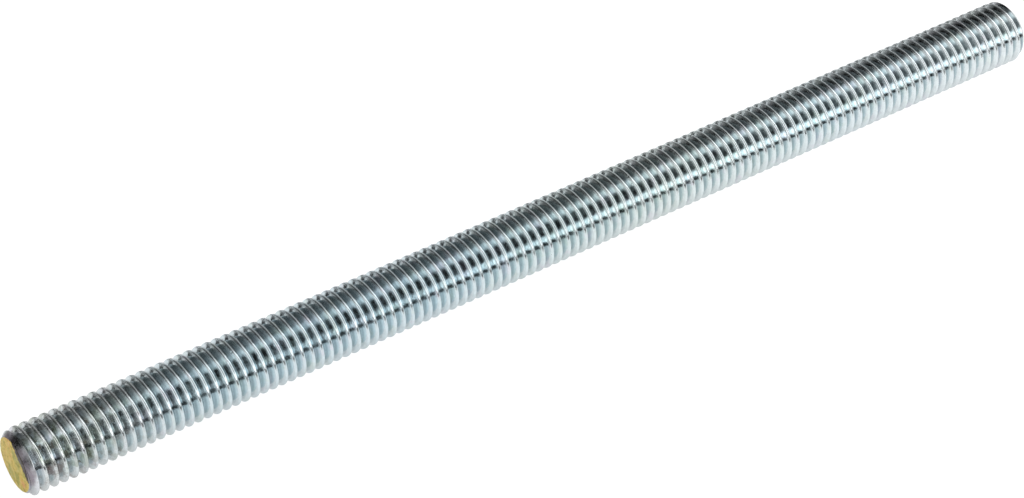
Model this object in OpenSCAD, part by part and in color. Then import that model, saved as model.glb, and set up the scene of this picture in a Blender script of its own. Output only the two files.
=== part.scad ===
// Threaded rod: a plain bar threaded along its whole length, cut to length
// and chamfered at both ends. Sizes follow the ISO metric thread.
//
// The rod lies along X, centred on the origin, and its lowest line lies on
// Z = 0. The solid is the rod's crest envelope, the cylinder that a plain
// hole, a clamp or the floor meets. The helix itself is a finish: its pitch,
// its depth and its root diameter are worked out here and set the ends.

/* [Thread] */
// Nominal thread diameter
nominal_d = 10; // [4:0.5:24]
// Advance of the thread in one turn
pitch = 1.5; // [0.7:0.05:3]
// How far the crest diameter stays below the nominal diameter
crest_allowance = 0.15; // [0:0.01:0.4]

/* [Rod] */
// Length over both end faces
rod_l = 175; // [40:0.5:1000]

/* [Ends] */
// Angle between a chamfer and the rod's axis
chamfer_angle = 45; // [30:1:60]
// How far the end face's diameter stays below the thread's root diameter
face_relief = 0.16; // [0:0.01:0.6]

/* [Colours] */
// Colour of the zinc-plated steel
zinc_colour = "#bcc4c8"; // ["#bcc4c8":Bright zinc, "#8f9498":Plain steel]

/* [Hidden] */
$fn = 96;

// Depth of a metric external thread, from crest to root
thread_depth = 0.61343 * pitch;
root_d = nominal_d - 2 * thread_depth;
crest_r = (nominal_d - crest_allowance) / 2;
face_r = (root_d - face_relief) / 2;
// Length that each chamfer takes off the full crest cylinder
chamfer_l = (crest_r - face_r) / tan(chamfer_angle);

// Half section of the bar, from one end face to the other: along the rod in
// X, out from its axis in Y
function bar_section() = [
    [0, 0],
    [face_r, 0],
    [crest_r, chamfer_l],
    [crest_r, rod_l - chamfer_l],
    [face_r, rod_l],
    [0, rod_l],
];

module bar() {
    rotate_extrude() polygon(bar_section());
}

// The bar, laid along X with its lowest line on the floor
module threaded_rod() {
    color(zinc_colour)
        translate([-rod_l / 2, 0, crest_r])
            rotate([0, 90, 0])
                bar();
}

threaded_rod();
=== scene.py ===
import math

import bpy
import numpy as np
from mathutils import Matrix, Vector


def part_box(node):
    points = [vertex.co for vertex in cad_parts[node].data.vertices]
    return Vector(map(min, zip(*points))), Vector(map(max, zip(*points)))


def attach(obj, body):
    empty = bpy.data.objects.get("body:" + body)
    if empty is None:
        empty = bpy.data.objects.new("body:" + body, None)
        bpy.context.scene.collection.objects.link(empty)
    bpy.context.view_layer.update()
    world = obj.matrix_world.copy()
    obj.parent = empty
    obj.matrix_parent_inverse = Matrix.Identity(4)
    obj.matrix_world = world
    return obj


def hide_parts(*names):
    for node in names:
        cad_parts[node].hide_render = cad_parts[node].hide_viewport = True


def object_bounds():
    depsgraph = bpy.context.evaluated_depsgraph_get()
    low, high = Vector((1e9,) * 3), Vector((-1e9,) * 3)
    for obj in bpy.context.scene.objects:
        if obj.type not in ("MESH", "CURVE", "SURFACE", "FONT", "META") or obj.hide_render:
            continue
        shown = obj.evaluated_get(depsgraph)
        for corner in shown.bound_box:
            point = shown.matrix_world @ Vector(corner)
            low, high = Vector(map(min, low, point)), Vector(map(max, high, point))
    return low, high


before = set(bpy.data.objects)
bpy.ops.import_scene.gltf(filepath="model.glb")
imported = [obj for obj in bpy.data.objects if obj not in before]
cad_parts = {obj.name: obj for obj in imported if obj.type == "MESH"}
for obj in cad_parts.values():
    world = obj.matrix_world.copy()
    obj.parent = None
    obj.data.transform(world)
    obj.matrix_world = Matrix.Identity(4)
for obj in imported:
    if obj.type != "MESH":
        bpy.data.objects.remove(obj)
CAD_LO, CAD_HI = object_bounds()

# ---------------------------------------------------------------- sizes, in metres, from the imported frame
LO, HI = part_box("threaded_rod")
LENGTH = HI.x - LO.x
CREST_R = (HI.z - LO.z) / 2
AXIS_Y, AXIS_Z = (LO.y + HI.y) / 2, LO.z + CREST_R
PITCH = 0.0015
ROOT_R = 0.00405        # the root's lowest line
CREST_FLAT = 0.00034    # width of the crest, between the flanks' straight lines
CREST_FILLET = 0.00024  # radius of the crest's corners: a rolled crest is well rounded
FLANK = math.radians(33)   # as the light reads on the worn, plated flanks
FACE_R = 0.0040         # radius of each end face
EDGE_FILLET = 0.00008   # rounding between an end face and its chamfer
SEGMENTS = 60           # round one turn
PHASE = 0.14            # in turns: where the thread starts on the painted end


# ---------------------------------------------------------------- the thread's profile over one pitch
def profile():
    """Points over one pitch, from the middle of one crest to the next: place along the rod, radius, and the normal's two parts in the axial plane."""
    reach = CREST_FILLET * math.tan((math.pi / 2 - FLANK) / 2)
    at, up = CREST_FLAT / 2 - reach, CREST_R - CREST_FILLET
    corner = [
        (at + CREST_FILLET * math.cos(a), up + CREST_FILLET * math.sin(a), math.cos(a), math.sin(a))
        for a in np.linspace(math.pi / 2, FLANK, 4)
    ]
    # the root is one arc that meets both flanks, with its lowest point at ROOT_R
    sharp = CREST_R - (PITCH / 2 - CREST_FLAT / 2) / math.tan(FLANK)
    big = ROOT_R - sharp
    root = [
        (PITCH / 2 + big * math.cos(a), sharp + 2 * big + big * math.sin(a), -math.cos(a), -math.sin(a))
        for a in np.linspace(math.pi + FLANK, 2 * math.pi - FLANK, 5)
    ]
    return np.array(corner + root + [(PITCH - x, r, -nx, nr) for x, r, nx, nr in reversed(corner)])


def helix():
    """The thread's skin, longer than the rod at both ends. Columns: x from the painted face, radius, cos and sin of the angle, and the normal's two parts."""
    prof = profile()
    m, n = len(prof), SEGMENTS
    first, last = -2, int(math.ceil(LENGTH / PITCH)) + 2
    rows = (last - first) * m
    k, j = np.arange(rows), np.arange(n)
    x0 = (first + k // m + PHASE) * PITCH + prof[k % m, 0]
    turn = 2 * math.pi * j / n
    cols = (
        x0[:, None] + PITCH * j / n,
        prof[k % m, 1][:, None] + 0 * turn,
        np.cos(turn) + 0 * x0[:, None],
        np.sin(turn) + 0 * x0[:, None],
        prof[k % m, 2][:, None] + 0 * turn,
        prof[k % m, 3][:, None] + 0 * turn,
    )
    v = np.stack([c.ravel() for c in cols], 1)
    kk, jj = (q.ravel() for q in np.meshgrid(np.arange(rows - 1), j, indexing="ij"))
    # past the last column, the helix goes on one pitch further along, in the first column
    step = np.where(jj == n - 1, m * n - (n - 1), 1)
    a = kk * n + jj
    b, d = a + n, a + step
    c = b + step
    ok = c < rows * n
    a, b, c, d = a[ok], b[ok], c[ok], d[ok]
    return v, np.concatenate([np.stack([a, b, c], 1), np.stack([a, c, d], 1)])


def cut(v, f, g, kind):
    """Splits triangles along g = 0. Returns the longer v, the new f and kind, and each triangle's side."""
    g = np.where(np.abs(g) < 2e-7, 0.0, g)
    s = np.sign(g)[f]
    mixed = (s.min(1) < 0) & (s.max(1) > 0)
    new, ends, out, out_kind = {}, [], [], []

    def mid(a, b):
        key = (a, b) if a < b else (b, a)
        if key not in new:
            new[key] = len(v) + len(ends)
            ends.append((key[0], key[1], g[key[0]] / (g[key[0]] - g[key[1]])))
        return new[key]

    for tri, sign, what in zip(f[mixed].tolist(), s[mixed].tolist(), kind[mixed].tolist()):
        if 0 in sign:
            i = sign.index(0)
            a, b, c = tri[i:] + tri[:i]
            p = mid(b, c)
            made = [[a, b, p], [a, p, c]]
        else:
            i = next(i for i in range(3) if sign.count(sign[i]) == 1)
            a, b, c = tri[i:] + tri[:i]
            p, q = mid(a, b), mid(a, c)
            made = [[a, p, q], [p, b, c], [p, c, q]]
        out += made
        out_kind += [what] * len(made)
    if ends:
        e = np.array(ends)
        ia, ib, t = e[:, 0].astype(int), e[:, 1].astype(int), e[:, 2:3]
        v = np.concatenate([v, v[ia] * (1 - t) + v[ib] * t])
        g = np.concatenate([g, np.zeros(len(e))])
        f = np.concatenate([f[~mixed], np.array(out)])
        kind = np.concatenate([kind[~mixed], np.array(out_kind)])
    side = np.sign(g[f].sum(1))
    return v, f, kind, side


THREAD, CHAMFER, FACE = 0, 1, 2


def rod_arrays():
    v, f = helix()
    kind = np.zeros(len(f), int)
    rims = []
    for end in (0, 1):
        here = lambda: v[:, 0] if end == 0 else LENGTH - v[:, 0]
        # what stands out past the chamfer's cone is laid onto it
        v, f, kind, side = cut(v, f, v[:, 1] - (FACE_R + here()), kind)
        kind = np.where(side > 0, CHAMFER, kind)
        on = np.unique(f[side > 0])
        v[on, 1] = np.maximum(FACE_R + here()[on], 1e-4)
        # the skin ends a little inside the face, clear of every point, and the cap's first rings round the edge
        tries = EDGE_FILLET * math.tan(math.pi / 8) * math.sin(math.pi / 4) + np.linspace(-8e-6, 8e-6, 65)
        rim = max(tries, key=lambda t: np.abs(here() - t).min())
        rims.append(rim)
        v, f, kind, side = cut(v, f, here() - rim, kind)
        f, kind = f[side > 0], kind[side > 0]
    used, inv = np.unique(f, return_inverse=True)
    v, f = v[used], inv.reshape(f.shape)
    hyp = np.hypot(v[:, 2], v[:, 3])
    v[:, 2] /= hyp
    v[:, 3] /= hyp
    return v, f, kind, rims


def cap(v, f, kind, end, rim, lift):
    """Closes one end with rings: two round the edge, then the face. lift gives the face's height over its plane from radius and angle. Returns the longer arrays, and the face's own normals."""
    x = v[:, 0] if end == 0 else LENGTH - v[:, 0]
    ring = np.flatnonzero(np.abs(x - rim) < 1e-9)
    turn = np.arctan2(v[ring, 3], v[ring, 2])
    ring = ring[np.argsort(turn)]
    turn = np.sort(turn)
    n = len(ring)
    q = EDGE_FILLET
    inner = FACE_R - q * math.tan(math.pi / 8)
    rings = [(q * (1 - math.cos(math.pi / 8)), inner + q * math.sin(math.pi / 8)), (0.0, inner)]
    rings += [(0.0, FACE_R * s) for s in (0.93, 0.84, 0.72, 0.58, 0.42, 0.24, 0.1)]
    sign = 1 if end == 0 else -1
    add, tris = [], []
    last = ring
    for i, (depth, r) in enumerate(rings):
        h = lift(np.full(n, r), turn)
        at = depth - h
        at = at if end == 0 else LENGTH - at
        add.append(np.stack([at, np.full(n, r), np.cos(turn), np.sin(turn), np.full(n, -1.0 * sign), 0 * turn], 1))
        here = len(v) + i * n + np.arange(n)
        a, b, c, d = last, np.roll(last, -1), np.roll(here, -1), here
        tris += [np.stack([a, c, b], 1), np.stack([a, d, c], 1)]
        last = here
    h = float(lift(np.zeros(1), np.zeros(1))[0])
    add.append(np.array([[-h if end == 0 else LENGTH + h, 0.0, 1.0, 0.0, -1.0 * sign, 0.0]]))
    mid = len(v) + len(rings) * n
    tris.append(np.stack([last, np.full(n, mid), np.roll(last, -1)], 1))
    tris = np.concatenate(tris)
    if end == 1:
        tris = tris[:, ::-1]
    return np.concatenate([v] + add), np.concatenate([f, tris]), np.concatenate([kind, np.full(len(tris), FACE)])


def paint_lift(r, turn):
    """Height of the paint film over the end face: a thin coat that was dabbed on, thicker off centre, thin at the rim."""
    x, y = r * np.cos(turn) / FACE_R, r * np.sin(turn) / FACE_R
    body = 0.000035 * (1 - np.clip(r / FACE_R, 0, 1) ** 6)
    waves = 0.000012 * (np.sin(3.1 * x + 1.7 * y + 0.6) + 0.6 * np.sin(5.3 * y - 2.2 * x + 2.0) + 0.4 * np.sin(8.7 * x + 4.1 * y))
    return body + waves * (1 - np.clip(r / FACE_R, 0, 1) ** 4)


def bare_lift(r, turn):
    """A sawn face, very slightly out of flat."""
    x, y = r * np.cos(turn) / FACE_R, r * np.sin(turn) / FACE_R
    return 0.000006 * np.sin(2.0 * x - 1.0 * y) * (1 - np.clip(r / FACE_R, 0, 1) ** 4) + 0 * r


def rod_object():
    v, f, kind, rims = rod_arrays()
    f = f[:, ::-1]
    v, f, kind = cap(v, f, kind, 0, rims[0], paint_lift)
    v, f, kind = cap(v, f, kind, 1, rims[1], bare_lift)
    r, c, s = v[:, 1], v[:, 2], v[:, 3]
    co = np.stack([LO.x + v[:, 0], AXIS_Y + r * c, AXIS_Z + r * s], 1)
    me = bpy.data.meshes.new("threaded_rod_skin")
    me.vertices.add(len(co))
    me.vertices.foreach_set("co", co.astype(np.float32).ravel())
    me.loops.add(f.size)
    me.loops.foreach_set("vertex_index", f.astype(np.int32).ravel())
    me.polygons.add(len(f))
    me.polygons.foreach_set("loop_start", np.arange(0, f.size, 3, dtype=np.int32))
    me.polygons.foreach_set("use_smooth", np.ones(len(f), bool))
    me.update(calc_edges=True)
    # normals: the helix has its own at every point, the chamfers a cone's, and the faces follow their mesh
    er = np.stack([0 * c, c, s], 1)
    et = np.stack([0 * c, -s, c], 1)
    ex = np.array([[1.0, 0, 0]])
    helix_n = v[:, 4:5] * ex + v[:, 5:6] * er - v[:, 4:5] * (PITCH / 2 / math.pi / np.maximum(r, 1e-3))[:, None] * et
    cone_n = np.where(v[:, 0:1] < LENGTH / 2, -1.0, 1.0) * ex + er
    tri = co[f]
    flat = np.cross(tri[:, 1] - tri[:, 0], tri[:, 2] - tri[:, 0])
    face_n = np.zeros_like(co)
    for i in range(3):
        np.add.at(face_n, f[kind == FACE, i], flat[kind == FACE])
    edge = (kind == CHAMFER)
    rim_v = np.zeros(len(v), bool)
    rim_v[np.unique(f[edge])] = True
    face_n[rim_v] = cone_n[rim_v]
    n = np.where((kind == THREAD)[:, None, None], helix_n[f], np.where((kind == CHAMFER)[:, None, None], cone_n[f], face_n[f]))
    n /= np.linalg.norm(n, axis=2, keepdims=True)
    me.normals_split_custom_set(n.reshape(-1, 3).tolist())
    ob = bpy.data.objects.new("threaded_rod_skin", me)
    bpy.context.scene.collection.objects.link(ob)
    return ob, kind


rod, KIND = rod_object()


# ---------------------------------------------------------------- shader graphs
class Net:
    """Short ways to add nodes to one node tree. A value may be a number, a tuple or another node's output."""

    def __init__(self, tree):
        self.tree = tree

    def set(self, socket, value):
        if isinstance(value, bpy.types.NodeSocket):
            self.tree.links.new(value, socket)
        else:
            socket.default_value = value

    def node(self, kind, inputs=None, **fields):
        n = self.tree.nodes.new(kind)
        for k, v in fields.items():
            setattr(n, k, v)
        for k, v in (inputs or {}).items():
            self.set(n.inputs[k], v)
        return n

    def math(self, op, *args):
        return self.node("ShaderNodeMath", dict(enumerate(args)), operation=op).outputs[0]

    def span(self, value, low, high, out_low=0.0, out_high=1.0, soft=True):
        n = self.node(
            "ShaderNodeMapRange",
            {"Value": value, "From Min": low, "From Max": high, "To Min": out_low, "To Max": out_high},
            interpolation_type="SMOOTHSTEP" if soft else "LINEAR",
        )
        return n.outputs["Result"]

    def mix(self, factor, a, b, blend="MIX"):
        n = self.node("ShaderNodeMix", data_type="RGBA", blend_type=blend)
        for i, v in ((0, factor), (6, a), (7, b)):
            self.set(n.inputs[i], (*v, 1) if isinstance(v, tuple) else v)
        return n.outputs[2]

    def noise(self, where, scale, detail=2.0, rough=0.5, stretch=None):
        if stretch is not None:
            where = self.node("ShaderNodeVectorMath", {0: where, 1: stretch}, operation="MULTIPLY").outputs[0]
        return self.node("ShaderNodeTexNoise", {"Vector": where, "Scale": scale, "Detail": detail, "Roughness": rough}).outputs["Fac"]

    def ramp(self, value, stops):
        n = self.node("ShaderNodeValToRGB", {"Fac": value})
        e = n.color_ramp.elements
        while len(e) < len(stops):
            e.new(0.5)
        for i, (at, colour) in enumerate(stops):
            e[i].position = at
            e[i].color = (*colour, 1)
        return n.outputs["Color"]


TINTS = (
    (0.00, (0.765, 0.805, 0.810)),
    (0.14, (0.710, 0.805, 0.840)),
    (0.34, (0.700, 0.805, 0.850)),
    (0.50, (0.715, 0.810, 0.825)),
    (0.62, (0.745, 0.820, 0.820)),
    (0.80, (0.735, 0.820, 0.850)),
    (1.00, (0.765, 0.820, 0.835)),
)


def finish(name, face):
    """Zinc plate with what lies on it. face is True for the painted end face alone; elsewhere the paint only laps onto the chamfer."""
    mat = bpy.data.materials.new(name)
    mat.use_nodes = True
    net = Net(mat.node_tree)
    p = mat.node_tree.nodes["Principled BSDF"]
    place = net.node("ShaderNodeTexCoord").outputs["Object"]
    split = net.node("ShaderNodeSeparateXYZ", {0: place})
    x, y, z = split.outputs
    cy, cz = net.math("SUBTRACT", y, AXIS_Y), net.math("SUBTRACT", z, AXIS_Z)
    radius = net.math("SQRT", net.math("ADD", net.math("MULTIPLY", cy, cy), net.math("MULTIPLY", cz, cz)))
    deep = net.span(radius, CREST_R - 0.00015, ROOT_R + 0.00012)   # 0 on the crests, 1 in the roots
    d = net.math("SUBTRACT", x, LO.x)                              # from the painted face
    close = net.span(d, 0.002, 0.028, 1.0, 0.0)                    # 1 at the painted end

    # the plating's tint drifts along the rod between grey, teal and a greenish grey, as a clear passivate does
    drift = net.math("MULTIPLY", net.math("SUBTRACT", net.noise(place, 60.0), 0.5), 0.16)
    along = net.math("ADD", net.span(d, 0.0, LENGTH, soft=False), drift)
    metal = net.ramp(along, TINTS)
    patch = net.noise(place, 420.0, 3.0)
    metal = net.mix(net.span(patch, 0.56, 0.72, 0.0, 0.45), metal, (0.77, 0.74, 0.83))
    metal = net.mix(net.span(patch, 0.46, 0.30, 0.0, 0.40), metal, (0.68, 0.78, 0.72))
    cloud = net.noise(place, 1300.0, 3.0, 0.6)
    metal = net.mix(1.0, metal, net.ramp(cloud, ((0.30, (0.90, 0.90, 0.90)), (0.62, (1.0, 1.0, 1.0)))), "MULTIPLY")
    # painted shade: the roots are darkened towards a dark teal, by up to 30 percent, for the shade that falls in the
    # grooves
    metal = net.mix(net.span(deep, 0.1, 0.9, 0.0, 0.30), metal, (0.16, 0.26, 0.30))

    # oil and dust left in the roots, thickest by the painted end, and a brown stain round the paint
    speck = net.noise(place, 650.0, 4.0, 0.65)
    grime = net.math("MULTIPLY", net.span(speck, 0.50, 0.66), net.math("MULTIPLY", net.span(deep, 0.3, 0.9, 0.25, 1.0), net.span(close, 0.0, 1.0, 0.10, 0.75)))
    metal = net.mix(grime, metal, (0.20, 0.17, 0.13))
    blotch = net.noise(place, 360.0, 4.0, 0.7)
    metal = net.mix(net.math("MULTIPLY", net.span(blotch, 0.47, 0.60, 0.0, 0.65), close), metal, net.ramp(net.noise(place, 190.0, 1.0), ((0.42, (0.34, 0.30, 0.29)), (0.56, (0.33, 0.38, 0.31)))))
    edge = net.math("ADD", d, net.math("MULTIPLY", net.math("SUBTRACT", net.noise(place, 380.0, 3.0), 0.5), 0.0022))
    stain = net.math("MULTIPLY", net.span(edge, 0.0003, 0.0011, 0.95, 0.0), net.span(cz, -0.0020, 0.0005, 0.25, 1.0))
    metal = net.mix(stain, metal, net.ramp(net.noise(place, 520.0, 2.0), ((0.38, (0.07, 0.035, 0.03)), (0.52, (0.12, 0.08, 0.06)), (0.64, (0.12, 0.20, 0.09)))))
    metal = net.mix(net.span(d, 0.0004, 0.0024, 0.30, 0.0), metal, (0.84, 0.82, 0.97))

    # the plain end's face is sawn: slanting marks, duller and greyer than the thread
    sawn = net.math("GREATER_THAN", d, LENGTH - 0.00003)
    saw = net.noise(place, 1.0, 4.0, 0.65, (1.0, 3600.0, 260.0))
    metal = net.mix(net.math("MULTIPLY", sawn, net.span(saw, 0.36, 0.64, 0.62, 0.10)), metal, (0.26, 0.27, 0.27))

    # the paint: ochre with orange and green in it, and thinner where the brush left it
    dab = net.noise(place, 330.0, 2.0, 0.5, (1.0, 1.5, 0.7))
    ochre = net.ramp(dab, ((0.34, (0.50, 0.45, 0.07)), (0.44, (0.78, 0.60, 0.11)), (0.55, (0.82, 0.56, 0.09)), (0.66, (0.86, 0.40, 0.10))))
    fine = net.noise(place, 1500.0, 4.0, 0.7)
    ochre = net.mix(net.span(fine, 0.50, 0.66, 0.0, 0.6), ochre, (0.32, 0.27, 0.04))
    ochre = net.mix(net.span(fine, 0.44, 0.30, 0.0, 0.5), ochre, (0.92, 0.74, 0.28))
    # it covers the face but for its upper front, and laps over the edge at the bottom, where it ran
    front = net.math("MULTIPLY", net.math("SUBTRACT", cz, cy), math.sqrt(0.5))
    front = net.math("ADD", front, net.math("MULTIPLY", net.math("SUBTRACT", net.noise(place, 520.0, 3.0, 0.6), 0.5), 0.0024))
    if face:
        cover = net.math("MULTIPLY", net.span(front, 0.00265, 0.00280, 1.0, 0.0), net.span(net.noise(place, 900.0, 3.0, 0.6), 0.24, 0.31))
        metal = net.mix(net.span(front, 0.0020, 0.0036, 0.97, 0.9), metal, (0.040, 0.024, 0.018))
    else:
        reach = net.span(front, -0.0040, 0.0005, 0.0007, -0.0002, soft=False)
        cover = net.span(net.math("SUBTRACT", d, reach), -0.00006, 0.00004, 1.0, 0.0)
    net.set(p.inputs["Base Color"], net.mix(cover, metal, ochre))
    net.set(p.inputs["Metallic"], net.math("SUBTRACT", 1.0, cover))
    shine = net.math("ADD", net.span(cloud, 0.35, 0.70, 0.10, 0.17), net.span(deep, 0.0, 0.30, 0.10, 0.0))   # a rolled crest stays rougher than the flanks
    shine = net.math("ADD", shine, net.math("MULTIPLY", grime, 0.30))
    shine = net.math("ADD", shine, net.math("MULTIPLY", stain, 0.15))
    shine = net.math("ADD", shine, net.math("MULTIPLY", sawn, 0.22))
    matt = net.span(fine, 0.35, 0.65, 0.34, 0.56)
    net.set(p.inputs["Roughness"], net.math("ADD", net.math("MULTIPLY", shine, net.math("SUBTRACT", 1.0, cover)), net.math("MULTIPLY", matt, cover)))

    # relief, in metres: uneven rolling, small nicks on the crests, grime, the paint's own surface
    height = net.math("MULTIPLY", net.noise(place, 850.0, 2.0), 0.000017)
    height = net.math("ADD", height, net.math("MULTIPLY", net.noise(place, 2600.0, 2.0), 0.0000050))
    cell = net.node("ShaderNodeTexVoronoi", {"Vector": place, "Scale": 520.0})
    pick = net.math("GREATER_THAN", net.node("ShaderNodeSeparateColor", {0: cell.outputs["Color"]}).outputs[0], 0.80)
    nick = net.math("MULTIPLY", net.span(cell.outputs["Distance"], 0.06, 0.16, 1.0, 0.0), pick)
    nick = net.math("MULTIPLY", nick, net.span(deep, 0.05, 0.30, 1.0, 0.0))
    height = net.math("SUBTRACT", height, net.math("MULTIPLY", nick, 0.000020))
    height = net.math("ADD", height, net.math("MULTIPLY", grime, 0.000006))
    height = net.math("ADD", height, net.math("MULTIPLY", cover, net.math("ADD", net.math("MULTIPLY", fine, 0.000035), net.math("MULTIPLY", dab, 0.00005))))
    height = net.math("ADD", height, net.math("MULTIPLY", net.math("MULTIPLY", saw, sawn), 0.000040))
    bump = net.node("ShaderNodeBump", {"Height": height, "Strength": 1.0, "Distance": 1.0})
    net.set(p.inputs["Normal"], bump.outputs[0])
    return mat


rod.data.materials.append(finish("zinc_plate", False))
rod.data.materials.append(finish("end_paint", True))
mi = np.zeros(len(rod.data.polygons), np.int32)
cent = np.zeros(len(mi) * 3, np.float32)
rod.data.polygons.foreach_get("center", cent)
mi[(KIND == FACE) & (cent[0::3] < 0)] = 1
rod.data.polygons.foreach_set("material_index", mi)
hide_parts("threaded_rod")
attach(rod, "root")

# ---------------------------------------------------------------- stage
def plane(name, corners, colour, glow=0.0):
    """A flat matt stage piece and its shader."""
    me = bpy.data.meshes.new(name)
    me.from_pydata(corners, [], [tuple(range(len(corners)))])
    ob = bpy.data.objects.new(name, me)
    bpy.context.scene.collection.objects.link(ob)
    mat = bpy.data.materials.new(name)
    mat.use_nodes = True
    p = mat.node_tree.nodes["Principled BSDF"]
    p.inputs["Base Color"].default_value = (*colour, 1)
    p.inputs["Roughness"].default_value = 1.0
    p.inputs["Specular IOR Level"].default_value = 0.0
    p.inputs["Emission Color"].default_value = (1, 1, 1, 1)
    p.inputs["Emission Strength"].default_value = glow
    me.materials.append(mat)
    return ob, mat.node_tree, p


# a pale light table, so that the floor stays light right up to the rod; it glows less by the near end, and less under
# the rod, which is a painted contact shadow
S = 3.0
_, ft, p = plane("floor", [(-S, -S, CAD_LO.z), (S, -S, CAD_LO.z), (S, S, CAD_LO.z), (-S, S, CAD_LO.z)], (0.3, 0.3, 0.3))
net = Net(ft)
place = net.node("ShaderNodeSeparateXYZ", {0: net.node("ShaderNodeTexCoord").outputs["Object"]})
glow = net.span(place.outputs["X"], -0.10, 0.16, 0.74, 0.98, soft=False)
# painted contact shadow: the glow drops to 0.7 within a few millimetres of the rod's line
glow = net.math("MULTIPLY", glow, net.span(net.math("ABSOLUTE", place.outputs["Y"]), 0.002, 0.009, 0.7, 1.0))
path = net.node("ShaderNodeLightPath")
seen = net.node("ShaderNodeMix", {"Factor": path.outputs["Is Camera Ray"], "A": glow, "B": 0.92})
net.set(p.inputs["Emission Strength"], seen.outputs["Result"])

# two low flags beside the rod, seen only in its reflections: they draw its dark lower line and its upper edge
for name, y, near, far, glow in (("flag_front", -0.022, (0.0028, 0.0083), (0.0033, 0.0076), 0.04), ("flag_back", 0.036, (0.0002, 0.0066), (0.0002, 0.0066), 0.06)):
    flag, _, _ = plane(name, [(-0.2, y, near[0]), (0.2, y, far[0]), (0.2, y, far[1]), (-0.2, y, near[1])], (0.01, 0.01, 0.01), glow)
    flag.visible_camera = flag.visible_diffuse = flag.visible_shadow = False

# ---------------------------------------------------------------- camera
cam = bpy.data.objects.new("camera", bpy.data.cameras.new("camera"))
bpy.context.scene.collection.objects.link(cam)
bpy.context.scene.camera = cam
cam.data.lens = 119.1
cam.data.sensor_width = 36.0
cam.data.clip_start, cam.data.clip_end = 0.01, 20.0
right = Vector((0.82638336, -0.56310543, 0.00167822))
up = Vector((0.36304754, 0.53506257, 0.76282667))
back = right.cross(up)
m = Matrix((right, up, back)).transposed().to_4x4()
m.translation = Vector((-0.2178961, -0.3094330, 0.3221282))
cam.matrix_world = m

# ---------------------------------------------------------------- light: soft boxes round the rod's axis
# each box lies between two angles round the axis, from the front horizon over the top to the back one. It gives how
# bright the light is there, from the near end on, with the angles toward the plain end where it changes. In degrees.
BOXES = [
    (0.34, ((-28, 0.0), (-2.5, 1.63), (17.5, 0.25), (33, 1.17))),
    (0.0, ((-54.5, 1.4), (2.5, 2.6), (14.5, 3.3), (20, 2.3), (23.5, 0.24), (39.5, 2.1))),
    (0.26, ((-44, 1.6), (-6.5, 0.55), (14, 0.0), (34, 1.7), (55, 0.92))),
    (0.79, ((-32, 0.0), (1, 1.62), (17, 0.85), (28, 2.1), (36, 2.8))),
    (0.9, ((-66, 0.0), (-38, 0.12), (12, 0.34), (22, 0.60), (34.5, 0.0))),
    (0.19, ((-30, 0.5), (-2, 0.75), (21, 0.9), (30, 0.0))),
]
EDGES = ((8, 6), (28, 16), (75.5, 16), (100, 20), (169, 16))  # where one box ends round the axis and the next begins, and over how wide a band
SOFT = 8  # the same along the axis
world = bpy.data.worlds.new("studio")
bpy.context.scene.world = world
world.use_nodes = True
world.node_tree.nodes.clear()
net = Net(world.node_tree)
xyz = net.node("ShaderNodeSeparateXYZ", {0: net.node("ShaderNodeTexCoord").outputs["Generated"]})
toward = net.math("MULTIPLY", net.math("ARCSINE", xyz.outputs["X"]), 180 / math.pi)
around = net.math("MULTIPLY", net.math("ARCTAN2", xyz.outputs["Z"], net.math("MULTIPLY", xyz.outputs["Y"], -1.0)), 180 / math.pi)
total = None
for i, (value, steps) in enumerate(BOXES):
    gate = None
    if i > 0:
        at, wide = EDGES[i - 1]
        gate = net.span(around, at - wide / 2, at + wide / 2)
    if i < len(EDGES):
        at, wide = EDGES[i]
        fall = net.span(around, at - wide / 2, at + wide / 2, 1.0, 0.0)
        gate = fall if gate is None else net.math("MULTIPLY", gate, fall)
    row = value
    for edge, then in steps:
        row = net.math("ADD", net.span(toward, edge - SOFT / 2, edge + SOFT / 2, 0.0, then - value), row)
        value = then
    part = net.math("MULTIPLY", row, gate)
    total = part if total is None else net.math("ADD", total, part)
lights = net.node("ShaderNodeBackground", {"Color": (1, 1, 1, 1), "Strength": total})
backdrop = net.node("ShaderNodeBackground", {"Color": (1, 1, 1, 1), "Strength": 1.0})
path = net.node("ShaderNodeLightPath")
mix = net.node("ShaderNodeMixShader", {0: path.outputs["Is Camera Ray"], 1: lights.outputs[0], 2: backdrop.outputs[0]})
net.node("ShaderNodeOutputWorld", {0: mix.outputs[0]})
bpy.context.scene.view_settings.view_transform = "Standard"
